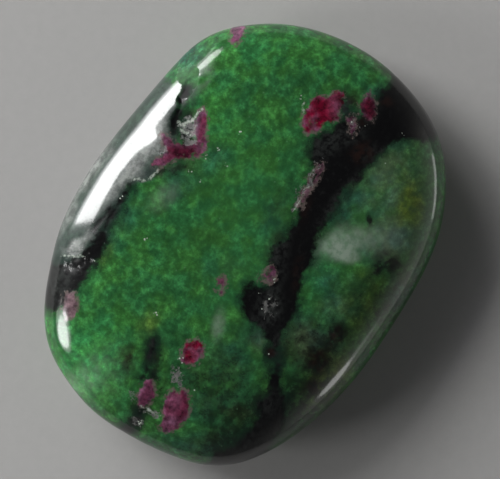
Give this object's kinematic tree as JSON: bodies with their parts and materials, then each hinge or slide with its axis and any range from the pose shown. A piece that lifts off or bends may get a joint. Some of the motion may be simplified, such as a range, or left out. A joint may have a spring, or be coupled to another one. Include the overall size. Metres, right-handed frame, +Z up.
{
  "type": "ruby in zoisite palm stone",
  "caption": "Tumbled and polished oval palm stone of green zoisite with black hornblende veins and red ruby grains, lying on its flat belly.",
  "frame": {"origin": "on the resting face, under the middle of the stone's box", "axes": "+X along the stone's length, +Y across it, +Z up out of the domed crown"},
  "size_m": [0.045, 0.0339, 0.0095],
  "materials": {
    "polished_stone": "polished"
  },
  "bodies": {
    "root": {"stone": "polished_stone"}
  },
  "joints": []
}
